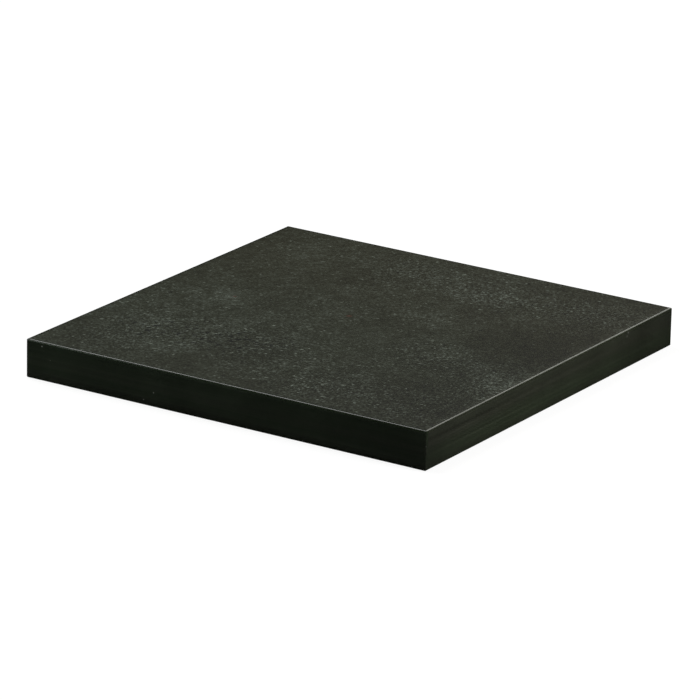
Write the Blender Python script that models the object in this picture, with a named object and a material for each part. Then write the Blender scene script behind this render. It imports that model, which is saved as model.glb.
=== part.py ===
"""Square stone-effect work slab: a chipboard core faced with laminate and edged with plastic strip.

Metres, +Z up. The origin is the centre of the underside, the front edge faces -Y and the right edge +X.
The slab comes apart as it was made: core board, laminate sheet above, backing sheet below, and four edging
strips. The front and back strips run the full width and cover the ends of the left and right strips.
"""

import math

import bmesh
import bpy

# Overall size of the finished slab.
SLAB_WIDTH = 0.3048
SLAB_DEPTH = 0.3048
SLAB_THICKNESS = 0.0266

# Thickness of each bought-in sheet and strip.
TOP_SHEET_THICKNESS = 0.0008
BACKING_SHEET_THICKNESS = 0.0008
EDGING_THICKNESS = 0.0020

# The glue joint that every pair of neighbouring pieces leaves between them.
GLUE_JOINT = 0.0003

# Roundings left by the trimming cutter along the top and bottom, and by the file on the upright corners.
ARRIS_RADIUS = 0.0015
CORNER_RADIUS = 0.0010
ARC_STEPS = 6

# How far the blanks and cutting prisms stand past the finished faces before they are trimmed.
TRIM_ALLOWANCE = 0.0040

# Faces that meet at less than this angle shade as one round surface.
SMOOTH_ANGLE = math.radians(30)

# Colour (linear), roughness and metallic value of each finish.
FINISHES = {
    "stone_effect_laminate": ((0.044, 0.047, 0.037), 0.62, 0.0),
    "edging_plastic": ((0.014, 0.017, 0.012), 0.42, 0.0),
    "backing_sheet": ((0.052, 0.043, 0.034), 0.55, 0.0),
    "chipboard": ((0.420, 0.290, 0.165), 0.85, 0.0),
}


def clear_scene():
    for old in list(bpy.data.objects):
        bpy.data.objects.remove(old, do_unlink=True)


def make_finish(name):
    colour, roughness, metallic = FINISHES[name]
    finish = bpy.data.materials.new(name)
    finish.use_nodes = True
    shader = finish.node_tree.nodes["Principled BSDF"]
    shader.inputs["Base Color"].default_value = (*colour, 1.0)
    shader.inputs["Roughness"].default_value = roughness
    shader.inputs["Metallic"].default_value = metallic
    return finish


def add_object(name, solid, location, parent):
    """Turn a bmesh into a named object under the slab's empty."""
    mesh = bpy.data.meshes.new(name)
    bmesh.ops.recalc_face_normals(solid, faces=solid.faces)
    solid.to_mesh(mesh)
    solid.free()
    piece = bpy.data.objects.new(name, mesh)
    piece.location = location
    piece.parent = parent
    bpy.context.scene.collection.objects.link(piece)
    return piece


def block(size):
    """A rectangular block centred on the origin."""
    solid = bmesh.new()
    bmesh.ops.create_cube(solid, size=1.0)
    bmesh.ops.scale(solid, vec=size, verts=solid.verts)
    return solid


def rounded_rectangle(width, height, radius):
    """Corner-rounded outline as points, anticlockwise from the lower right arc."""
    points = []
    for turn, (side_x, side_y) in enumerate(((1, -1), (1, 1), (-1, 1), (-1, -1))):
        centre_x = side_x * (width / 2 - radius)
        centre_y = side_y * (height / 2 - radius)
        start = math.radians(-90 + 90 * turn)
        for step in range(ARC_STEPS + 1):
            angle = start + math.radians(90) * step / ARC_STEPS
            points.append((centre_x + radius * math.cos(angle), centre_y + radius * math.sin(angle)))
    return points


def prism(outline, length, place):
    """Extrude an outline by length. place(u, v, w) gives the corner for outline point u, v at depth w."""
    solid = bmesh.new()
    near = [solid.verts.new(place(u, v, -length / 2)) for u, v in outline]
    far = [solid.verts.new(place(u, v, length / 2)) for u, v in outline]
    solid.faces.new(near)
    solid.faces.new(list(reversed(far)))
    for i in range(len(outline)):
        j = (i + 1) % len(outline)
        solid.faces.new((near[j], near[i], far[i], far[j]))
    return solid


def keep_inside(piece, cutter):
    """Trim a piece to what lies inside the cutter, which is a guide and not part of the slab."""
    cutter.hide_render = True
    cutter.display_type = "WIRE"
    trim = piece.modifiers.new("trim to " + cutter.name, "BOOLEAN")
    trim.operation = "INTERSECT"
    trim.solver = "EXACT"
    trim.object = cutter


def finish_trimming(piece):
    """Make the trimmed shape the piece's own mesh, so that its roundings can be shaded smooth."""
    trimmed = piece.evaluated_get(bpy.context.evaluated_depsgraph_get())
    mesh = bpy.data.meshes.new_from_object(trimmed)
    mesh.name = piece.name
    piece.modifiers.clear()
    piece.data = mesh
    mesh.shade_smooth()
    mesh.set_sharp_from_angle(angle=SMOOTH_ANGLE)


def make_finished_shape(slab):
    """The slab's outer shape: upright corners seen from above, arrises along X and along Y."""
    middle = (0.0, 0.0, SLAB_THICKNESS / 2)
    past = 2 * TRIM_ALLOWANCE
    arris = min(ARRIS_RADIUS, EDGING_THICKNESS)
    plan = rounded_rectangle(SLAB_WIDTH, SLAB_DEPTH, CORNER_RADIUS)
    upright = prism(plan, SLAB_THICKNESS + past, lambda u, v, w: (u, v, w))
    side_view = rounded_rectangle(SLAB_DEPTH, SLAB_THICKNESS, arris)
    along_x = prism(side_view, SLAB_WIDTH + past, lambda u, v, w: (w, u, v))
    front_view = rounded_rectangle(SLAB_WIDTH, SLAB_THICKNESS, arris)
    along_y = prism(front_view, SLAB_DEPTH + past, lambda u, v, w: (u, w, v))

    finished_shape = add_object("finished_shape", upright, middle, slab)
    keep_inside(finished_shape, add_object("arrises_along_x", along_x, middle, slab))
    keep_inside(finished_shape, add_object("arrises_along_y", along_y, middle, slab))
    return finished_shape


def make_sheet(name, bottom, thickness, finish, slab):
    """A layer of the sandwich, as wide and deep as the edging strips leave room for."""
    border = 2 * (EDGING_THICKNESS + GLUE_JOINT)
    layer = block((SLAB_WIDTH - border, SLAB_DEPTH - border, thickness))
    sheet = add_object(name, layer, (0.0, 0.0, bottom + thickness / 2), slab)
    sheet.data.materials.append(finish)


def make_sandwich(finishes, slab):
    """Backing sheet, core board and top sheet, from the bottom up."""
    core_bottom = BACKING_SHEET_THICKNESS + GLUE_JOINT
    top_bottom = SLAB_THICKNESS - TOP_SHEET_THICKNESS
    core_thickness = top_bottom - GLUE_JOINT - core_bottom
    make_sheet("backing_laminate", 0.0, BACKING_SHEET_THICKNESS, finishes["backing_sheet"], slab)
    make_sheet("core_board", core_bottom, core_thickness, finishes["chipboard"], slab)
    make_sheet("top_laminate", top_bottom, TOP_SHEET_THICKNESS, finishes["stone_effect_laminate"], slab)


def make_edging(name, along_x, side, finish, finished_shape, slab):
    """One edging strip: a blank that stands proud of its outer faces, trimmed flush and rounded over.

    A strip along X covers the ends of its neighbours, and one along Y fits between them. side is -1 for
    the front or left strip and 1 for the back or right one.
    """
    reach = EDGING_THICKNESS + TRIM_ALLOWANCE
    height = SLAB_THICKNESS + 2 * TRIM_ALLOWANCE
    if along_x:
        size = (SLAB_WIDTH + 2 * TRIM_ALLOWANCE, reach, height)
        place = (0.0, side * (SLAB_DEPTH / 2 - EDGING_THICKNESS + reach / 2), SLAB_THICKNESS / 2)
    else:
        size = (reach, SLAB_DEPTH - 2 * (EDGING_THICKNESS + GLUE_JOINT), height)
        place = (side * (SLAB_WIDTH / 2 - EDGING_THICKNESS + reach / 2), 0.0, SLAB_THICKNESS / 2)
    strip = add_object(name, block(size), place, slab)
    keep_inside(strip, finished_shape)
    finish_trimming(strip)
    strip.data.materials.append(finish)


def main():
    clear_scene()
    slab = bpy.data.objects.new("slab", None)
    bpy.context.scene.collection.objects.link(slab)
    finishes = {name: make_finish(name) for name in FINISHES}
    make_sandwich(finishes, slab)
    finished_shape = make_finished_shape(slab)
    make_edging("edging_front", True, -1, finishes["edging_plastic"], finished_shape, slab)
    make_edging("edging_back", True, 1, finishes["edging_plastic"], finished_shape, slab)
    make_edging("edging_left", False, -1, finishes["edging_plastic"], finished_shape, slab)
    make_edging("edging_right", False, 1, finishes["edging_plastic"], finished_shape, slab)


main()
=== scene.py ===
import math

import bmesh
import bpy
from mathutils import Matrix, Vector, noise


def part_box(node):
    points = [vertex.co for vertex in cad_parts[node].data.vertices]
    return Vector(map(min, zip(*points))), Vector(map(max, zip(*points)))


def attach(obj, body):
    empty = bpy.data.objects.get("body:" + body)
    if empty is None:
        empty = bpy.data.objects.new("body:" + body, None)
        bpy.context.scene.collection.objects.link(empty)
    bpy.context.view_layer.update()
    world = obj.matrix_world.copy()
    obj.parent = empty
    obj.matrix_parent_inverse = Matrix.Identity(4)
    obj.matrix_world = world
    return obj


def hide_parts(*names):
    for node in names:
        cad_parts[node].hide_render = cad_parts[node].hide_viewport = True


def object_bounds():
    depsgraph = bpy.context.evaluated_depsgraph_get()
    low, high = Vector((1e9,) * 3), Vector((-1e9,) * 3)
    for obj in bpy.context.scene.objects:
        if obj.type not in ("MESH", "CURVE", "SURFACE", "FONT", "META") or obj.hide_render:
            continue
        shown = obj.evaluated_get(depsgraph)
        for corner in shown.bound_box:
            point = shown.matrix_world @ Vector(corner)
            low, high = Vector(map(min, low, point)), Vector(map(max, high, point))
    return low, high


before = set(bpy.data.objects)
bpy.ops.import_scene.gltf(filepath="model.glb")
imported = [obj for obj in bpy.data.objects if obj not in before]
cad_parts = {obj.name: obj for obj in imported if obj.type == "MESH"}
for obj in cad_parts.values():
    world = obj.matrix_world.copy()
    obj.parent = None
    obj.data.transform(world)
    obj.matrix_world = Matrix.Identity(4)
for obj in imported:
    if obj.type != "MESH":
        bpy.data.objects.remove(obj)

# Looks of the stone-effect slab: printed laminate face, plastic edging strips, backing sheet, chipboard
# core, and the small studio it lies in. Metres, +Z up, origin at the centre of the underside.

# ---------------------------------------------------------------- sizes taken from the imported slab
LOW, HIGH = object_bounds()
MIDDLE = (LOW + HIGH) / 2
WIDTH, DEPTH, THICKNESS = HIGH - LOW
STRIP_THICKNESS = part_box("edging_front")[1].y - LOW.y
GLUE_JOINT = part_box("top_laminate")[0].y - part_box("edging_front")[1].y

# Roundings: the trimming cutter's along the top and bottom, the file's on the upright corners, and the
# light easing along a laminate sheet's cut edge.
ARRIS_RADIUS = 0.0015
CORNER_RADIUS = 0.0010
SHEET_EASING = 0.00012
ARC_STEPS = 8
EASING_STEPS = 2

# What shows of a glue joint once the pieces are pressed together.
HAIRLINE = 0.00006

# Spacing of the mesh lines that carry the slow waves of the pressed sheet and the rolled strips.
SHEET_MESH = 0.0040
STRIP_MESH = 0.0035
STRIP_ROWS = 14

# The waves. A sheet has a broad one and a close one, each as (noise cells to the metre, strength). A
# strip's noise cells are counted along it and up it.
SHEET_WAVE_DEPTH = 0.00003
SHEET_WAVES = ((22, 0.6), (70, 0.3))
WAVE_SEED_STEP = 5
STRIP_WAVE_DEPTH = 0.00003
STRIP_WAVE_CELLS = (24, 60)

# Mesh lines and corners that are closer than this become one.
JOINED_WITHIN = 0.000003

# Faces that meet at less than this angle shade as one round surface.
SMOOTH_ANGLE = math.radians(35)


# ---------------------------------------------------------------- small helpers
def lerp(start, end, share):
    return start + (end - start) * share


def rounding_drop(distance, radius):
    """How far a surface falls away at a distance in from an edge that is rounded to radius."""
    if distance >= radius:
        return 0.0
    return radius - math.sqrt(radius**2 - (radius - distance) ** 2)


def arc_stations(radius, steps=ARC_STEPS):
    """Distances in from an edge where a quarter round of that radius needs a mesh line."""
    return [radius * (1 - math.cos(math.pi / 2 * step / steps)) for step in range(steps + 1)]


def mesh_lines(low, high, near_edges, spacing):
    """Positions from low to high: the given distances in from both ends, and even steps between."""
    inner_low, inner_high = low + max(near_edges), high - max(near_edges)
    steps = max(1, round((inner_high - inner_low) / spacing))
    lines = [lerp(inner_low, inner_high, step / steps) for step in range(steps + 1)]
    lines += [low + distance for distance in near_edges] + [high - distance for distance in near_edges]
    tidy = []
    for line in sorted(lines):
        if not tidy or line - tidy[-1] > JOINED_WITHIN:
            tidy.append(line)
    return tidy


def close_piece(name, solid, finish, node):
    """Turn a bmesh into a piece that stands for a CAD node, shaded smooth except at its cut edges."""
    bmesh.ops.remove_doubles(solid, verts=solid.verts, dist=JOINED_WITHIN)
    bmesh.ops.dissolve_degenerate(solid, dist=JOINED_WITHIN, edges=solid.edges)
    bmesh.ops.recalc_face_normals(solid, faces=solid.faces)
    mesh = bpy.data.meshes.new(name)
    solid.to_mesh(mesh)
    solid.free()
    mesh.shade_smooth()
    mesh.set_sharp_from_angle(angle=SMOOTH_ANGLE)
    mesh.materials.append(finish)
    piece = bpy.data.objects.new(name, mesh)
    bpy.context.scene.collection.objects.link(piece)
    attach(piece, "root")
    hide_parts(node)
    return piece


# ---------------------------------------------------------------- laminate sheets
def sheet_wave(x, y, seed):
    """0 to 1: the slow unevenness that the pressed board shows through the sheet."""
    level = 0.5
    for order, (cells, strength) in enumerate(SHEET_WAVES):
        level += strength * noise.noise(Vector((x * cells, y * cells, seed + order * WAVE_SEED_STEP)))
    return min(1.0, max(0.0, level))


def sheet_rim(columns, rows):
    """Grid places around a sheet's edge, anticlockwise from its left front corner."""
    last_i, last_j = columns - 1, rows - 1
    front = [(i, 0) for i in range(last_i)]
    right = [(last_i, j) for j in range(last_j)]
    back = [(last_i - i, last_j) for i in range(last_i)]
    left = [(0, last_j - j) for j in range(last_j)]
    return front + right + back + left


def laminate_sheet(name, node, outward, finish, seed):
    """A thin sheet whose outer face (outward is 1 for up, -1 for down) has eased edges and slow waves."""
    low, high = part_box(node)
    spread = GLUE_JOINT - HAIRLINE
    outer_z, inner_z = (high.z, low.z) if outward > 0 else (low.z, high.z)
    eased = arc_stations(SHEET_EASING, EASING_STEPS)
    xs = mesh_lines(low.x - spread, high.x + spread, eased, SHEET_MESH)
    ys = mesh_lines(low.y - spread, high.y + spread, eased, SHEET_MESH)
    solid = bmesh.new()
    outer, inner = {}, {}
    for i, x in enumerate(xs):
        for j, y in enumerate(ys):
            edge_x = rounding_drop(min(x - xs[0], xs[-1] - x), SHEET_EASING)
            edge_y = rounding_drop(min(y - ys[0], ys[-1] - y), SHEET_EASING)
            sink = max(edge_x, edge_y) + SHEET_WAVE_DEPTH * sheet_wave(x, y, seed)
            outer[i, j] = solid.verts.new((x, y, outer_z - outward * sink))
            inner[i, j] = solid.verts.new((x, y, inner_z))
    for face in (outer, inner):
        for i in range(len(xs) - 1):
            for j in range(len(ys) - 1):
                solid.faces.new((face[i, j], face[i + 1, j], face[i + 1, j + 1], face[i, j + 1]))
    rim = sheet_rim(len(xs), len(ys))
    for here, there in zip(rim, rim[1:] + rim[:1]):
        solid.faces.new((outer[here], outer[there], inner[there], inner[here]))
    return close_piece(name, solid, finish, node)


# ---------------------------------------------------------------- edging strips
def strip_outline():
    """A strip seen along its length, as (distance out from the glued face, height) points."""
    thick, tall = STRIP_THICKNESS, THICKNESS
    outline = [(0.0, 0.0)]
    for step in range(ARC_STEPS + 1):
        turn = math.pi / 2 * step / ARC_STEPS
        out = thick - ARRIS_RADIUS + ARRIS_RADIUS * math.sin(turn)
        outline.append((out, ARRIS_RADIUS - ARRIS_RADIUS * math.cos(turn)))
    for row in range(1, STRIP_ROWS):
        outline.append((thick, lerp(ARRIS_RADIUS, tall - ARRIS_RADIUS, row / STRIP_ROWS)))
    for step in range(ARC_STEPS + 1):
        turn = math.pi / 2 * step / ARC_STEPS
        out = thick - ARRIS_RADIUS + ARRIS_RADIUS * math.cos(turn)
        outline.append((out, tall - ARRIS_RADIUS + ARRIS_RADIUS * math.sin(turn)))
    outline.append((0.0, tall))
    return outline


def strip_wave(along, height, seed):
    """-1 to 0: how far the rolled strip's face sinks where the board behind it is uneven."""
    cells_along, cells_up = STRIP_WAVE_CELLS
    return -0.5 + 0.5 * noise.noise(Vector((along * cells_along, height * cells_up, seed)))


def strip_ring(solid, outline, station, along, glued, side, seed):
    """The strip's outline at one station, cut back where the slab's upright corners are rounded.

    along is the strip's own axis, glued is where its glued face lies and side is the way it faces.
    """
    from_corner = min(station - LOW[along], HIGH[along] - station)
    lowest = rounding_drop(from_corner, ARRIS_RADIUS)
    outermost = STRIP_THICKNESS - rounding_drop(from_corner, CORNER_RADIUS)
    ring = []
    for square_out, square_height in outline:
        out = min(square_out, outermost)
        height = min(max(square_height, lowest), THICKNESS - lowest)
        sunk = STRIP_WAVE_DEPTH * strip_wave(station, height, seed) * out / STRIP_THICKNESS
        place = Vector((0.0, 0.0, LOW.z + height))
        place[along] = station
        place[1 - along] = glued + side * (out + sunk)
        ring.append(solid.verts.new(place))
    return ring


def edging_strip(name, node, along_x, side, finish, seed):
    """Sweep the strip's outline from end to end, easing it at the slab's upright corners.

    along_x says which way the strip runs, and side is -1 for the front or left strip.
    """
    low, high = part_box(node)
    along = 0 if along_x else 1
    across = 1 - along
    spread = 0.0 if along_x else GLUE_JOINT - HAIRLINE
    glued = high[across] if side < 0 else low[across]
    near_ends = sorted(set(arc_stations(ARRIS_RADIUS) + arc_stations(CORNER_RADIUS)))
    stations = mesh_lines(low[along] - spread, high[along] + spread, near_ends, STRIP_MESH)
    outline = strip_outline()
    solid = bmesh.new()
    rings = [strip_ring(solid, outline, station, along, glued, side, seed) for station in stations]
    count = len(outline)
    for here, there in zip(rings, rings[1:]):
        for i in range(count):
            solid.faces.new((here[i], here[(i + 1) % count], there[(i + 1) % count], there[i]))
    solid.faces.new(rings[0])
    solid.faces.new(rings[-1])
    return close_piece(name, solid, finish, node)


# ---------------------------------------------------------------- node shorthand
def feed(tree, socket, value):
    """Link a socket to another one, or set it."""
    if isinstance(value, bpy.types.NodeSocket):
        tree.links.new(value, socket)
    else:
        socket.default_value = value


def add_node(tree, kind, inputs=(), **settings):
    node = tree.nodes.new("ShaderNode" + kind)
    for setting, value in settings.items():
        setattr(node, setting, value)
    for socket, value in dict(inputs).items():
        feed(tree, node.inputs[socket], value)
    return node


def calc(tree, operation, *values):
    """A Math node's result."""
    return add_node(tree, "Math", enumerate(values), operation=operation).outputs[0]


def fade(tree, value, start, end):
    """0 where value is at start, 1 where it is at end, with a soft step between."""
    node = add_node(tree, "MapRange", {"Value": value, "From Min": start, "From Max": end},
                    interpolation_type="SMOOTHSTEP")
    return node.outputs["Result"]


def between(tree, share, low, high):
    """A number that goes from low to high as share goes from 0 to 1."""
    node = add_node(tree, "MapRange", {"Value": share, "To Min": low, "To Max": high})
    return node.outputs["Result"]


def mix_colours(tree, share, first, second, mode="MIX"):
    node = add_node(tree, "Mix", {0: share, 6: first, 7: second}, data_type="RGBA", blend_type=mode)
    return node.outputs[2]


def stretched(tree, place, scale):
    node = add_node(tree, "VectorMath", {0: place, 1: scale}, operation="MULTIPLY")
    return node.outputs[0]


def object_place(tree):
    return add_node(tree, "TexCoord").outputs["Object"]


# ---------------------------------------------------------------- effects shared by several finishes
def start_group(name, sockets, results):
    """An empty shader node group. sockets are (name, type, default) and results are names of numbers."""
    group = bpy.data.node_groups.new(name, "ShaderNodeTree")
    for label, kind, default in sockets:
        socket = group.interface.new_socket(label, in_out="INPUT", socket_type="NodeSocket" + kind)
        socket.default_value = default
    for label in results:
        group.interface.new_socket(label, in_out="OUTPUT", socket_type="NodeSocketFloat")
    given = group.nodes.new("NodeGroupInput").outputs
    wanted = group.nodes.new("NodeGroupOutput").inputs
    return group, given, wanted


def make_mottle_group():
    """Cloudy patches: a fractal noise cut to a soft mask between two levels."""
    group, given, wanted = start_group("mottle", [
        ("Place", "Vector", (0, 0, 0)), ("Scale", "Float", 100.0), ("Detail", "Float", 3.0),
        ("Roughness", "Float", 0.6), ("Seed", "Float", 0.0), ("Low", "Float", 0.4), ("High", "Float", 0.6),
    ], ["Mask", "Value"])
    cloud = add_node(group, "TexNoise", {
        "Vector": given["Place"], "W": given["Seed"], "Scale": given["Scale"], "Detail": given["Detail"],
        "Roughness": given["Roughness"],
    }, noise_dimensions="4D")
    feed(group, wanted["Mask"], fade(group, cloud.outputs[0], given["Low"], given["High"]))
    feed(group, wanted["Value"], cloud.outputs[0])
    return group


# Share of a dot's radius that is solid before its soft rim starts.
DOT_CORE = 0.4


def make_specks_group():
    """Scattered small dots of dust. Share is how many of the cells hold one."""
    group, given, wanted = start_group("specks", [
        ("Place", "Vector", (0, 0, 0)), ("Scale", "Float", 200.0), ("Size", "Float", 0.2),
        ("Share", "Float", 0.1),
    ], ["Mask"])
    cells = add_node(group, "TexVoronoi", {"Vector": given["Place"], "Scale": given["Scale"]})
    lot = add_node(group, "SeparateColor", {0: cells.outputs["Color"]}).outputs[0]
    chosen = calc(group, "LESS_THAN", lot, given["Share"])
    core = calc(group, "MULTIPLY", given["Size"], DOT_CORE)
    dot = fade(group, cells.outputs["Distance"], given["Size"], core)
    feed(group, wanted["Mask"], calc(group, "MULTIPLY", chosen, dot))
    return group


# The broad bands' scale, as a share of the fine lines'.
BAND_SCALE = 0.22


def make_drawn_lines_group():
    """Fine lines drawn out one way, and broader bands, as on an extruded strip or a sanded sheet."""
    group, given, wanted = start_group("drawn lines", [
        ("Place", "Vector", (0, 0, 0)), ("Stretch", "Vector", (1, 1, 1)), ("Scale", "Float", 1.0),
        ("Seed", "Float", 0.0),
    ], ["Lines", "Bands"])
    drawn = stretched(group, given["Place"], given["Stretch"])
    fine = add_node(group, "TexNoise", {
        "Vector": drawn, "W": given["Seed"], "Scale": given["Scale"], "Detail": 3.0, "Roughness": 0.7,
    }, noise_dimensions="4D")
    broad = add_node(group, "TexNoise", {
        "Vector": drawn, "W": given["Seed"], "Scale": calc(group, "MULTIPLY", given["Scale"], BAND_SCALE),
        "Detail": 1.0,
    }, noise_dimensions="4D")
    feed(group, wanted["Lines"], fine.outputs[0])
    feed(group, wanted["Bands"], broad.outputs[0])
    return group


# Share of the arris radius over which Arris is full.
ARRIS_CORE = 0.85


def make_edge_wear_group():
    """Wear is 1 along the slab's top and bottom edges, ragged, and Arris is 1 on the rounding itself."""
    group, given, wanted = start_group("edge wear", [
        ("Place", "Vector", (0, 0, 0)), ("Half Size", "Vector", (0.1, 0.1, 0.01)), ("Reach", "Float", 0.002),
        ("Break Up", "Float", 0.3), ("Radius", "Float", 0.0015),
    ], ["Wear", "Arris"])
    folded = add_node(group, "VectorMath", {0: given["Place"]}, operation="ABSOLUTE").outputs[0]
    inset = add_node(group, "VectorMath", {0: given["Half Size"], 1: folded}, operation="SUBTRACT").outputs[0]
    from_side = add_node(group, "SeparateXYZ", {0: inset}).outputs
    nearest_side = calc(group, "MINIMUM", from_side["X"], from_side["Y"])
    from_edge = calc(group, "ADD", nearest_side, from_side["Z"])
    ragged = add_node(group, "TexNoise", {"Vector": given["Place"], "Scale": 140.0, "Detail": 2.0})
    shift = calc(group, "MULTIPLY", calc(group, "SUBTRACT", ragged.outputs[0], 0.5), given["Break Up"])
    reach = calc(group, "MULTIPLY", given["Reach"], calc(group, "ADD", 1.0, shift))
    feed(group, wanted["Wear"], fade(group, from_edge, reach, 0.0))
    inner = calc(group, "MULTIPLY", given["Radius"], ARRIS_CORE)
    feed(group, wanted["Arris"], fade(group, from_edge, given["Radius"], inner))
    return group


EFFECTS = {
    "mottle": make_mottle_group(),
    "specks": make_specks_group(),
    "drawn lines": make_drawn_lines_group(),
    "edge wear": make_edge_wear_group(),
}


def use(tree, name, **inputs):
    """Place a shared effect in a finish. An input's name is given with _ for each space."""
    node = add_node(tree, "Group", node_tree=EFFECTS[name])
    for label, value in inputs.items():
        feed(tree, node.inputs[label.replace("_", " ")], value)
    return node.outputs


def start_finish(name):
    finish = bpy.data.materials.new(name)
    finish.use_nodes = True
    tree = finish.node_tree
    return finish, tree, tree.nodes["Principled BSDF"]


def add_bump(tree, shader, height, distance, strength):
    bump = add_node(tree, "Bump", {"Height": height, "Distance": distance, "Strength": strength})
    feed(tree, shader.inputs["Normal"], bump.outputs["Normal"])


# ---------------------------------------------------------------- tones laid over a finish
def patches(tree, place, spots):
    """Sum of soft round patches.

    Each spot says where its centre is, as shares of the slab's width, depth and height from the left
    front bottom corner, then its reach in metres and its strength.
    """
    total = 0.0
    for across, back, up, reach, strength in spots:
        centre = (lerp(LOW.x, HIGH.x, across), lerp(LOW.y, HIGH.y, back), lerp(LOW.z, HIGH.z, up))
        away = add_node(tree, "VectorMath", {0: place, 1: centre}, operation="DISTANCE").outputs["Value"]
        total = calc(tree, "MULTIPLY_ADD", fade(tree, away, reach, 0.0), strength, total)
    return total


def swing(tree, value, amount, total):
    """Add a 0 to 1 noise to a running total, centred on zero and as strong as amount."""
    return calc(tree, "MULTIPLY_ADD", calc(tree, "SUBTRACT", value, 0.5), amount, total)


def expose(tree, colour, exposure):
    """A colour made lighter or darker by e to the power of exposure."""
    return mix_colours(tree, 1.0, colour, calc(tree, "EXPONENT", exposure), "MULTIPLY")


# ---------------------------------------------------------------- the laminate face
# Linear colours of the print: the warm ground of the back, the cooler one of the front, the bluish bloom
# that lies over both where they are pale, and the flecks and pits.
WARM_GROUND = (0.0151, 0.0151, 0.0062, 1)
COOL_GROUND = (0.0133, 0.0151, 0.0067, 1)
BLOOM = (0.0129, 0.0151, 0.0128, 1)
PALE_FLECK = (0.0980, 0.1120, 0.0930, 1)
DARK_PIT = (0.0020, 0.0024, 0.0016, 1)

# The print's speckle is drawn out along one direction, as veins in a sawn stone are.
FLOW_DIRECTION = math.radians(32)
FLOW_STRETCH = (1.5, 0.9, 1.0)

# Where the print is lighter or darker, where its speckle is livelier, and where it is pitted. The broadest of
# the dark patches are painted light and shade, darkening the right of the top and lightening its left. Each
# patch is (share across, share back, share up, reach, strength).
PALE_PATCHES = (
    (0.68, 0.83, 1, 0.034, 1.0), (0.57, 0.86, 1, 0.026, 0.2), (0.50, 0.90, 1, 0.024, 0.5),
    (0.80, 0.75, 1, 0.026, 0.7), (0.77, 0.44, 1, 0.022, 1.1), (0.99, 0.34, 1, 0.038, 1.3),
    (0.90, 0.37, 1, 0.024, 0.8), (0.15, 0.26, 1, 0.024, 1.0), (0.19, 0.50, 1, 0.030, 1.0),
    (0.15, 0.45, 1, 0.026, 1.1), (0.29, 0.15, 1, 0.028, 0.8), (0.23, 0.09, 1, 0.020, 0.5),
    (0.72, 0.21, 1, 0.022, 0.7), (0.62, 0.63, 1, 0.030, 0.6), (0.40, 0.43, 1, 0.024, 0.5),
    (0.31, 0.33, 1, 0.030, 0.7), (0.16, 0.84, 1, 0.048, 0.7), (0.66, 0.11, 1, 0.014, 0.5),
)
DARK_PATCHES_AND_PAINTED_SHADE = (
    (0.95, 0.69, 1, 0.044, 1.0), (0.88, 0.56, 1, 0.036, 1.1), (0.80, 0.62, 1, 0.024, 0.7),
    (0.33, 0.77, 1, 0.028, 0.7), (0.54, 0.55, 1, 0.024, 0.6), (0.45, 0.19, 1, 0.030, 1.1),
    (0.49, 0.24, 1, 0.018, 0.6), (0.84, 0.20, 1, 0.034, 1.0), (0.78, 0.20, 1, 0.022, 0.5),
    (0.60, 0.03, 1, 0.034, 1.2), (0.79, 0.34, 1, 0.022, 0.9), (0.99, 0.55, 1, 0.060, 1.0),
    (0.10, 0.05, 1, 0.030, 0.8), (0.96, 0.11, 1, 0.046, 1.2), (0.04, 0.74, 1, 0.024, 0.4),
    (0.35, 0.03, 1, 0.026, 0.9), (0.65, 0.20, 1, 0.030, 0.6), (1.00, 0.40, 1, 0.090, 0.5),
    (0.00, 0.35, 1, 0.080, -0.5), (0.05, 0.98, 1, 0.030, 0.3), (0.96, 0.98, 1, 0.030, 0.3),
)
LIVELY_PATCHES = (
    (0.66, 0.86, 1, 0.060, 1.0), (0.90, 0.84, 1, 0.056, 1.4), (0.97, 0.35, 1, 0.070, 1.5),
    (0.68, 0.12, 1, 0.060, 1.3), (0.44, 0.86, 1, 0.050, 0.9), (0.18, 0.22, 1, 0.060, 0.8),
    (0.36, 0.27, 1, 0.060, 0.8), (0.76, 0.40, 1, 0.050, 1.1), (0.92, 0.10, 1, 0.070, 1.3),
    (0.03, 0.72, 1, 0.120, -0.4), (0.50, 0.22, 1, 0.050, 0.7), (0.14, 0.06, 1, 0.050, 0.6),
)
PIT_PATCHES = (
    (0.25, 0.23, 1, 0.044, 1.0), (0.38, 0.25, 1, 0.036, 1.0), (0.13, 0.20, 1, 0.034, 0.8),
    (0.47, 0.27, 1, 0.030, 0.5), (0.82, 0.20, 1, 0.030, 0.4), (0.15, 0.52, 1, 0.030, 0.3),
    (0.74, 0.79, 1, 0.040, 0.4), (0.05, 0.28, 1, 0.030, 0.4),
)

# One curved hair scratch, with the centre and the top of its arc as shares across and back, and two rusty
# specks.
SCRATCH_CENTRE = (0.279, 0.326)
SCRATCH_TOP = (0.278, 0.369)
SCRATCH_RADIUS = 0.0130
SCRATCH_WIDTH = 0.0010
SCRATCH_REACH = 0.0180
RUST = (0.0420, 0.0130, 0.0070, 1)
RUST_SPOTS = ((0.468, 0.533, 1, 0.0030, 0.8), (0.194, 0.499, 1, 0.0022, 0.7))


def hair_scratch(tree, place):
    """0 to 1: a thin arc that fades towards both ends."""
    across, back = SCRATCH_CENTRE
    centre = (lerp(LOW.x, HIGH.x, across), lerp(LOW.y, HIGH.y, back), HIGH.z)
    away = add_node(tree, "VectorMath", {0: place, 1: centre}, operation="DISTANCE").outputs["Value"]
    off_line = calc(tree, "ABSOLUTE", calc(tree, "SUBTRACT", away, SCRATCH_RADIUS))
    near_top = patches(tree, place, [(*SCRATCH_TOP, 1, SCRATCH_REACH, 1.0)])
    return calc(tree, "MULTIPLY", fade(tree, off_line, SCRATCH_WIDTH, 0.0), near_top)


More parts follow.
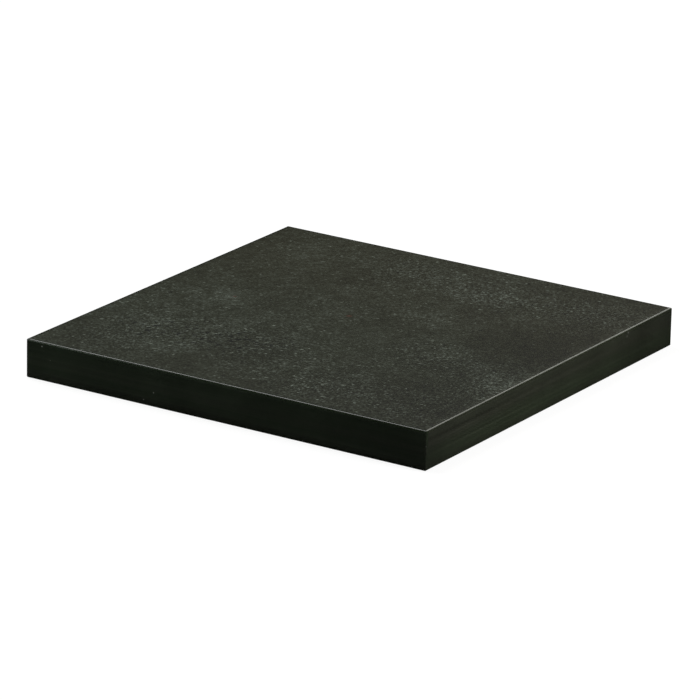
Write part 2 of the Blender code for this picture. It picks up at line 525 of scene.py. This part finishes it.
# The print's layers of noise, from broad to fine. DRIFT shifts the outlines of the patches, by up to
# about half of PATCH_WANDER.
DRIFT = {"Scale": 42.0, "Detail": 4.0, "Roughness": 0.65}
PATCH_WANDER = 0.055
CLOUDS = {"Scale": 38.0, "Detail": 3.0, "Roughness": 0.6, "Seed": 1.0}
MOTTLING = {"Scale": 180.0, "Detail": 2.0, "Roughness": 0.6, "Seed": 2.0}
PITS = {"Scale": 300.0, "Detail": 1.0, "Roughness": 0.5, "Seed": 6.0}
FLECKS = {"Scale": 480.0, "Detail": 1.0, "Roughness": 0.5, "Seed": 5.0}
SPECKLE = {"Scale": 720.0, "Detail": 1.0, "Roughness": 0.9, "Seed": 3.0}

# How far each layer lifts or drops the print's exposure, which works as a power of e.
PALE_LIFT = 0.34
DARK_DROP = -0.30
# Painted shade: the top darker towards its right side.
RIGHT_SIDE_PAINTED_SHADE = -0.36
CLOUD_SWING = 0.85
MOTTLING_SWING = 2.1
SPECKLE_SWING = 4.9
LIVELY_SWING = 3.5

# Where each colour starts and where it is full: the cool ground by its place, as a share of the depth
# back from the middle, the bloom by exposure, and the flecks and pits by the level of their noise.
COOL_FROM, COOL_FULL = 0.34, -0.16
BLOOM_FROM, BLOOM_FULL = -1.0, 1.6
FLECK_FROM, FLECK_FULL = 0.64, 0.80
PIT_FROM, PIT_FULL = 0.68, 0.77

# How much lighter, livelier and pitted places raise the noise that the flecks and pits come from.
FLECKS_WHERE_PALE = 0.10
FLECKS_WHERE_LIVELY = 0.035
PITS_WHERE_PITTED = 0.15

SCRATCH_STRENGTH = 0.32
PRINT_ROUGHNESS = (0.72, 0.52)
PRINT_SPECULAR = 0.115
PRINT_RELIEF = 0.0003


def wander(tree, place):
    """The place shifted by a slow noise, so that soft round patches get natural outlines."""
    drift = add_node(tree, "TexNoise", {"Vector": place, **DRIFT}).outputs["Color"]
    shift = add_node(tree, "VectorMath", {0: drift, 1: (0.5, 0.5, 0.5)}, operation="SUBTRACT").outputs[0]
    reach = (PATCH_WANDER, PATCH_WANDER, 0.0)
    return add_node(tree, "VectorMath", {0: shift, 1: reach, 2: place}, operation="MULTIPLY_ADD").outputs[0]


def print_noise(tree, place, layer):
    return use(tree, "mottle", Place=place, **layer)["Value"]


def print_tone_and_painted_shade(tree, place, wandering):
    """The top's broad exposure: pale and dark print patches, clouds, and painted shade that darkens the top
    towards the right.
    """
    across = add_node(tree, "SeparateXYZ", {0: wandering}).outputs["X"]
    # Painted shade: darker towards the right side of the top.
    shade = calc(tree, "MULTIPLY", fade(tree, across, 0.0, WIDTH / 2), RIGHT_SIDE_PAINTED_SHADE)
    shade = calc(tree, "MULTIPLY_ADD", patches(tree, wandering, PALE_PATCHES), PALE_LIFT, shade)
    # Dark print patches; the broadest of them are painted light and shade.
    shade = calc(tree, "MULTIPLY_ADD", patches(tree, wandering, DARK_PATCHES_AND_PAINTED_SHADE), DARK_DROP, shade)
    return swing(tree, print_noise(tree, place, CLOUDS), CLOUD_SWING, shade)


def print_ground(tree, wandering, exposure):
    """Warm at the back, cool at the front, bluish where the print is pale, and exposed."""
    back = add_node(tree, "SeparateXYZ", {0: wandering}).outputs["Y"]
    cool = fade(tree, back, DEPTH * COOL_FROM, DEPTH * COOL_FULL)
    ground = mix_colours(tree, cool, WARM_GROUND, COOL_GROUND)
    bloom = fade(tree, exposure, BLOOM_FROM, BLOOM_FULL)
    return expose(tree, mix_colours(tree, bloom, ground, BLOOM), exposure)


def with_flecks(tree, flow, shade, lively, colour):
    """Pale flecks over the colour, more of them where the print is pale or lively."""
    crowding = calc(tree, "MULTIPLY", lively, FLECKS_WHERE_LIVELY)
    crowding = calc(tree, "MULTIPLY_ADD", shade, FLECKS_WHERE_PALE, crowding)
    flecks = calc(tree, "ADD", print_noise(tree, flow, FLECKS), crowding)
    return mix_colours(tree, fade(tree, flecks, FLECK_FROM, FLECK_FULL), colour, PALE_FLECK)


def print_pits(tree, flow, wandering):
    """0 to 1: small dark pits, most of them in the pitted places."""
    pitted = patches(tree, wandering, PIT_PATCHES)
    pits = calc(tree, "MULTIPLY_ADD", pitted, PITS_WHERE_PITTED, print_noise(tree, flow, PITS))
    return fade(tree, pits, PIT_FROM, PIT_FULL)


def with_handling_marks(tree, place, colour):
    """The hair scratch and the rusty specks over the colour."""
    scratched = calc(tree, "MULTIPLY", hair_scratch(tree, place), SCRATCH_STRENGTH)
    colour = mix_colours(tree, scratched, colour, PALE_FLECK)
    return mix_colours(tree, patches(tree, place, RUST_SPOTS), colour, RUST)


def stone_print_finish():
    """Matt printed laminate: soft warm and cool clouds, fine speckle, pale flecks and small dark pits."""
    finish, tree, shader = start_finish("stone print laminate")
    place = object_place(tree)
    wandering = wander(tree, place)
    turn = {"Vector": place, "Rotation": (0.0, 0.0, FLOW_DIRECTION), "Scale": FLOW_STRETCH}
    flow = add_node(tree, "Mapping", turn, vector_type="TEXTURE").outputs[0]
    lively = patches(tree, wandering, LIVELY_PATCHES)
    speckle = print_noise(tree, flow, SPECKLE)
    pits = print_pits(tree, flow, wandering)

    shade = print_tone_and_painted_shade(tree, place, wandering)
    exposure = swing(tree, print_noise(tree, flow, MOTTLING), MOTTLING_SWING, shade)
    contrast = calc(tree, "MULTIPLY_ADD", lively, LIVELY_SWING, SPECKLE_SWING)
    exposure = swing(tree, speckle, contrast, exposure)
    colour = print_ground(tree, wandering, exposure)
    colour = with_flecks(tree, flow, shade, lively, colour)
    colour = mix_colours(tree, pits, colour, DARK_PIT)
    colour = with_handling_marks(tree, place, colour)

    feed(tree, shader.inputs["Base Color"], colour)
    feed(tree, shader.inputs["Roughness"], between(tree, speckle, *PRINT_ROUGHNESS))
    shader.inputs["Specular IOR Level"].default_value = PRINT_SPECULAR
    add_bump(tree, shader, calc(tree, "SUBTRACT", speckle, pits), PRINT_RELIEF, 0.8)
    return finish


# ---------------------------------------------------------------- the edging plastic
STRIP_GREEN = (0.0070, 0.0116, 0.0050, 1)
STRIP_BROWN = (0.0111, 0.0124, 0.0081, 1)
SCRAPED_PLASTIC = (0.0340, 0.0410, 0.0270, 1)
DUST = (0.3500, 0.3600, 0.3300, 1)

# Painted light and shade on the strips: mostly darker near the upright corners and low down by them, paler
# along the middles of the faces.
STRIP_PAINTED_LIGHT_AND_SHADE = (
    (1.00, 0.48, 0.5, 0.130, 0.25), (1.00, 1.00, 0.3, 0.070, -1.1), (1.00, 0.00, 0.0, 0.030, -0.9),
    (0.78, 0.00, 0.5, 0.080, 0.3), (1.00, 0.00, 0.5, 0.050, -0.25), (0.00, 0.00, 0.5, 0.060, 0.1),
    (0.87, 0.00, 0.7, 0.050, -0.7), (1.00, 0.36, 0.0, 0.060, 0.8),
)
# Specks of dust on the front strip, a pale speck on the upright corner between the front and right strips,
# and two faint marks far along the right strip.
DUST_SPOTS = (
    (0.041, 0.00, 0.88, 0.0007, 0.5), (0.328, 0.00, 0.37, 0.0007, 0.4), (0.303, 0.00, 0.14, 0.0006, 0.4),
    (1.000, 0.00, 0.62, 0.0009, 0.15), (1.000, 0.811, 0.92, 0.0011, 0.15), (1.000, 0.806, 0.84, 0.0011, 0.12),
)

# How far each layer lifts or drops the strips' exposure, the first being the painted light and shade.
PAINTED_LIGHT_AND_SHADE_LIFT = 0.30
LINE_SWING = 1.5
BAND_SWING = 0.5
SMEAR_SWING = 0.8

# Where the hue starts to turn brown and where it has turned, by the level of the hue bands.
BROWN_FROM, BROWN_FULL = 0.10, 0.90

SMEARS = {"Scale": 28.0, "Detail": 2.0, "Roughness": 0.5, "Seed": 4.0}
RUBBING = {"Scale": 240.0, "Detail": 2.0, "Roughness": 0.6, "Seed": 10.0}
STRIP_DUST = {"Scale": 150.0, "Size": 0.07, "Share": 0.05}
WEAR = {"Reach": 0.0018, "Break_Up": 1.2, "Radius": ARRIS_RADIUS}
WORN_PALE = 0.2
DUST_STRENGTH = 0.4

# The face's roughness and how far the lines and smears move it, then how the rubbed arris scales it.
STRIP_ROUGHNESS = 0.40
LINE_ROUGHNESS = 0.20
SMEAR_ROUGHNESS = 0.08
ARRIS_POLISH = (0.1, 1.0)
STRIP_SPECULAR = 0.22
STRIP_RELIEF = 0.00003


def strip_colour(tree, place, lines, hues, smears, brown):
    """Green to brown near-black, its hue partly set by painted light colour, lighter and darker by painted
    light and shade, lines, bands and smears.
    """
    # Painted light and shade: darker near the upright corners, paler along the middles of the faces.
    shade = calc(tree, "MULTIPLY", patches(tree, place, STRIP_PAINTED_LIGHT_AND_SHADE), PAINTED_LIGHT_AND_SHADE_LIFT)
    shade = swing(tree, lines["Lines"], LINE_SWING, shade)
    shade = swing(tree, lines["Bands"], BAND_SWING, shade)
    shade = swing(tree, smears, SMEAR_SWING, shade)
    # Painted light colour: the strips along y lean further towards brown than the strips along x.
    browned = fade(tree, calc(tree, "ADD", hues, brown), BROWN_FROM, BROWN_FULL)
    return expose(tree, mix_colours(tree, browned, STRIP_GREEN, STRIP_BROWN), shade)


def strip_roughness(tree, place, lines, smears, arris):
    """Semi-matt face, and an arris that handling has polished unevenly."""
    roughness = swing(tree, lines["Lines"], LINE_ROUGHNESS, STRIP_ROUGHNESS)
    roughness = swing(tree, smears, SMEAR_ROUGHNESS, roughness)
    rubbed = use(tree, "mottle", Place=place, **RUBBING)["Value"]
    polished = calc(tree, "MULTIPLY", roughness, between(tree, rubbed, *ARRIS_POLISH))
    return add_node(tree, "Mix", {0: arris, 2: roughness, 3: polished}).outputs[0]


def edging_finish(name, lengthwise, brown):
    """Extruded near-black plastic with faint lengthwise lines, a scraped arris and a little dust.

    lengthwise stretches the pattern: small numbers along the strip, large ones across it. The last argument
    shifts the hue from green towards brown as painted light colour: the strips along y are made browner than
    those along x.
    """
    finish, tree, shader = start_finish(name)
    place = object_place(tree)
    from_middle = add_node(tree, "VectorMath", {0: place, 1: MIDDLE}, operation="SUBTRACT").outputs[0]
    lines = use(tree, "drawn lines", Place=place, Stretch=lengthwise, Scale=1.0)
    hues = use(tree, "drawn lines", Place=place, Stretch=lengthwise, Scale=0.6, Seed=3.0)["Bands"]
    smears = use(tree, "mottle", Place=place, **SMEARS)["Value"]
    worn = use(tree, "edge wear", Place=from_middle, Half_Size=(WIDTH / 2, DEPTH / 2, THICKNESS / 2), **WEAR)
    dust = use(tree, "specks", Place=place, **STRIP_DUST)["Mask"]
    dusty = calc(tree, "MULTIPLY_ADD", dust, DUST_STRENGTH, patches(tree, place, DUST_SPOTS))

    colour = strip_colour(tree, place, lines, hues, smears, brown)
    colour = mix_colours(tree, calc(tree, "MULTIPLY", worn["Wear"], WORN_PALE), colour, SCRAPED_PLASTIC)
    colour = mix_colours(tree, dusty, colour, DUST)

    feed(tree, shader.inputs["Base Color"], colour)
    feed(tree, shader.inputs["Roughness"], strip_roughness(tree, place, lines, smears, worn["Arris"]))
    shader.inputs["Specular IOR Level"].default_value = STRIP_SPECULAR
    add_bump(tree, shader, lines["Lines"], STRIP_RELIEF, 0.6)
    return finish


# ---------------------------------------------------------------- the backing sheet and the core
BACKING_BROWN = (0.0420, 0.0340, 0.0265, 1)
BACKING_PALE = (0.0620, 0.0520, 0.0420, 1)
BACKING_SANDING = {"Stretch": (9.0, 900.0, 1.0), "Scale": 1.0, "Seed": 7.0}
BACKING_CLOUDS = {"Scale": 18.0, "Detail": 4.0, "Roughness": 0.6, "Seed": 8.0, "Low": 0.35, "High": 0.65}
BACKING_DUST = {"Scale": 180.0, "Size": 0.12, "Share": 0.08}
SANDING_SWING = 0.8
BACKING_ROUGHNESS = (0.48, 0.70)
BACKING_RELIEF = 0.00005


def backing_finish():
    """Plain dark brown balancing laminate, sanded one way and a little dusty from the bench."""
    finish, tree, shader = start_finish("sanded backing laminate")
    place = object_place(tree)
    lines = use(tree, "drawn lines", Place=place, **BACKING_SANDING)["Lines"]
    clouds = use(tree, "mottle", Place=place, **BACKING_CLOUDS)["Mask"]
    dust = use(tree, "specks", Place=place, **BACKING_DUST)["Mask"]
    colour = mix_colours(tree, clouds, BACKING_BROWN, BACKING_PALE)
    colour = mix_colours(tree, 1.0, colour, swing(tree, lines, SANDING_SWING, 1.0), "MULTIPLY")
    colour = mix_colours(tree, calc(tree, "MULTIPLY", dust, DUST_STRENGTH), colour, DUST)
    feed(tree, shader.inputs["Base Color"], colour)
    feed(tree, shader.inputs["Roughness"], between(tree, lines, *BACKING_ROUGHNESS))
    add_bump(tree, shader, lines, BACKING_RELIEF, 0.6)
    return finish


CHIP_PALE = (0.5200, 0.3700, 0.2150, 1)
CHIP_DARK = (0.2300, 0.1350, 0.0680, 1)
CHIP_SCALE = 320.0
CHIP_FLATNESS = 2.4
CHIP_FIBRES = {"Stretch": (60.0, 900.0, 900.0), "Scale": 1.0, "Seed": 9.0}
FIBRE_LEVELS = (0.7, 1.3)
RESIN_FROM, RESIN_FULL = 0.45, 0.75
RESIN_STRENGTH = 0.6
CHIP_ROUGHNESS = (0.75, 0.92)
CHIP_RELIEF = 0.0002


def chipboard_finish():
    """Pressed wood chips: flat flakes of varied tone with dark resin between them."""
    finish, tree, shader = start_finish("chipboard")
    flat = stretched(tree, object_place(tree), (1.0, 1.0, CHIP_FLATNESS))
    chips = add_node(tree, "TexVoronoi", {"Vector": flat, "Scale": CHIP_SCALE, "Randomness": 1.0})
    tone = add_node(tree, "SeparateColor", {0: chips.outputs["Color"]}).outputs[0]
    fibres = use(tree, "drawn lines", Place=flat, **CHIP_FIBRES)["Lines"]
    colour = mix_colours(tree, tone, CHIP_DARK, CHIP_PALE)
    colour = mix_colours(tree, 1.0, colour, between(tree, fibres, *FIBRE_LEVELS), "MULTIPLY")
    resin = fade(tree, chips.outputs["Distance"], RESIN_FROM, RESIN_FULL)
    colour = mix_colours(tree, calc(tree, "MULTIPLY", resin, RESIN_STRENGTH), colour, CHIP_DARK)
    feed(tree, shader.inputs["Base Color"], colour)
    feed(tree, shader.inputs["Roughness"], between(tree, tone, *CHIP_ROUGHNESS))
    add_bump(tree, shader, calc(tree, "ADD", tone, fibres), CHIP_RELIEF, 0.7)
    return finish


# ---------------------------------------------------------------- the studio
# The white sweep shows to the camera as nearly even paper white, with a trace of its real shading.
FLOOR_EVENNESS = 0.88
FLOOR_WHITE = 1.02
FLOOR_CLOUDS = {"Scale": 6.0, "Detail": 3.0, "Roughness": 0.5}
FLOOR_PAPER = (0.93, 0.97)


def floor_finish():
    """Matt white sweep, seen through from below so that the underside can be looked at."""
    finish, tree, shader = start_finish("studio white")
    paper = use(tree, "mottle", Place=object_place(tree), **FLOOR_CLOUDS)["Value"]
    feed(tree, shader.inputs["Base Color"], between(tree, paper, *FLOOR_PAPER))
    shader.inputs["Roughness"].default_value = 0.9
    shader.inputs["Specular IOR Level"].default_value = 0.0
    seen = add_node(tree, "LightPath").outputs["Is Camera Ray"]
    even = add_node(tree, "Emission", {"Strength": FLOOR_WHITE}).outputs[0]
    share = calc(tree, "MULTIPLY", seen, FLOOR_EVENNESS)
    lit = add_node(tree, "MixShader", {0: share, 1: shader.outputs[0], 2: even}).outputs[0]
    below = add_node(tree, "NewGeometry").outputs["Backfacing"]
    clear = add_node(tree, "BsdfTransparent").outputs[0]
    one_sided = add_node(tree, "MixShader", {0: below, 1: lit, 2: clear}).outputs[0]
    feed(tree, tree.nodes["Material Output"].inputs["Surface"], one_sided)
    return finish


FLOOR_HALF_SIZE = 9.0
FLOOR_CLEARANCE = 0.0001


def make_floor():
    solid = bmesh.new()
    bmesh.ops.create_grid(solid, x_segments=8, y_segments=8, size=FLOOR_HALF_SIZE)
    mesh = bpy.data.meshes.new("floor")
    solid.to_mesh(mesh)
    solid.free()
    mesh.materials.append(floor_finish())
    floor = bpy.data.objects.new("floor", mesh)
    floor.location.z = LOW.z - FLOOR_CLEARANCE
    floor.visible_glossy = False
    bpy.context.scene.collection.objects.link(floor)


# Soft boxes: name, place, size in metres, power in watts and tint. All face the slab.
SOFT_BOXES = (
    ("overhead", (-1.2, 0.0, 2.0), (1.2, 1.6), 52.5, (1.0, 1.0, 1.0)),
    ("behind", (0.1, 1.7, 1.5), (1.4, 1.35), 25.4, (0.998, 1.0, 0.923)),
    ("right", (2.0, 0.3, 0.7), (1.0, 0.6), 34.0, (1.02, 1.0, 1.0)),
    ("right_near", (0.9, 0.1, 0.35), (0.5, 0.3), 2.7, (1.039, 1.0, 1.016)),
    ("left_near", (-0.9, -0.8, 0.4), (0.4, 0.3), 3.72, (0.892, 1.0, 0.938)),
)


def make_soft_boxes():
    for name, place, (width, height), power, tint in SOFT_BOXES:
        light = bpy.data.lights.new(name, "AREA")
        light.shape = "RECTANGLE"
        light.size, light.size_y = width, height
        light.energy = power
        light.color = tint
        lamp = bpy.data.objects.new(name, light)
        lamp.location = place
        lamp.rotation_mode = "QUATERNION"
        lamp.rotation_quaternion = (MIDDLE - Vector(place)).to_track_quat("-Z", "Y")
        lamp.visible_camera = False
        bpy.context.scene.collection.objects.link(lamp)


def make_surroundings():
    """Pale to look at past the floor's edge, dim as a light source."""
    world = bpy.data.worlds.new("studio")
    world.use_nodes = True
    tree = world.node_tree
    seen = add_node(tree, "LightPath").outputs["Is Camera Ray"]
    feed(tree, tree.nodes["Background"].inputs["Strength"], seen)
    tree.nodes["Background"].inputs["Color"].default_value = (1, 1, 1, 1)
    bpy.context.scene.world = world


# The camera looks at a point just above the underside's centre, from far off with a long lens.
CAMERA_AZIMUTH = math.radians(32.55)
CAMERA_ELEVATION = math.radians(18.55)
CAMERA_ROLL = math.radians(1.23)
CAMERA_DISTANCE = 3.586
CAMERA_LENS = 282.2
CAMERA_AIM = Vector((-0.0022, 0.0001, 0.0073))
CAMERA_SEES = (0.1, 60.0)


def make_camera():
    lens = bpy.data.cameras.new("camera")
    lens.lens = CAMERA_LENS
    lens.sensor_width = 36.0
    lens.clip_start, lens.clip_end = CAMERA_SEES
    camera = bpy.data.objects.new("camera", lens)
    level = math.cos(CAMERA_ELEVATION)
    across, towards = math.sin(CAMERA_AZIMUTH) * level, math.cos(CAMERA_AZIMUTH) * level
    back = Vector((across, -towards, math.sin(CAMERA_ELEVATION)))
    camera.location = CAMERA_AIM + back * CAMERA_DISTANCE
    upright = (-back).to_track_quat("-Z", "Y").to_matrix()
    camera.rotation_euler = (upright @ Matrix.Rotation(CAMERA_ROLL, 3, "Z")).to_euler()
    bpy.context.scene.collection.objects.link(camera)
    bpy.context.scene.camera = camera


# ---------------------------------------------------------------- put together
# Each edging finish: how it is stretched along x, y and z, and how far its hue is shifted towards brown, as
# painted light colour.
EDGING_ALONG_X = ((4.0, 700.0, 700.0), -0.15)
EDGING_ALONG_Y = ((700.0, 4.0, 700.0), 0.12)


def make_slab():
    laminate_sheet("stone_face", "top_laminate", 1, stone_print_finish(), seed=1.0)
    laminate_sheet("backing_sheet", "backing_laminate", -1, backing_finish(), seed=2.0)
    along_x = edging_finish("edging along x", *EDGING_ALONG_X)
    along_y = edging_finish("edging along y", *EDGING_ALONG_Y)
    edging_strip("front_strip", "edging_front", True, -1, along_x, seed=3.0)
    edging_strip("back_strip", "edging_back", True, 1, along_x, seed=4.0)
    edging_strip("left_strip", "edging_left", False, -1, along_y, seed=5.0)
    edging_strip("right_strip", "edging_right", False, 1, along_y, seed=6.0)
    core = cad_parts["core_board"]
    core.data.materials.clear()
    core.data.materials.append(chipboard_finish())


make_slab()
make_floor()
make_soft_boxes()
make_surroundings()
make_camera()
bpy.context.scene.view_settings.view_transform = "Standard"
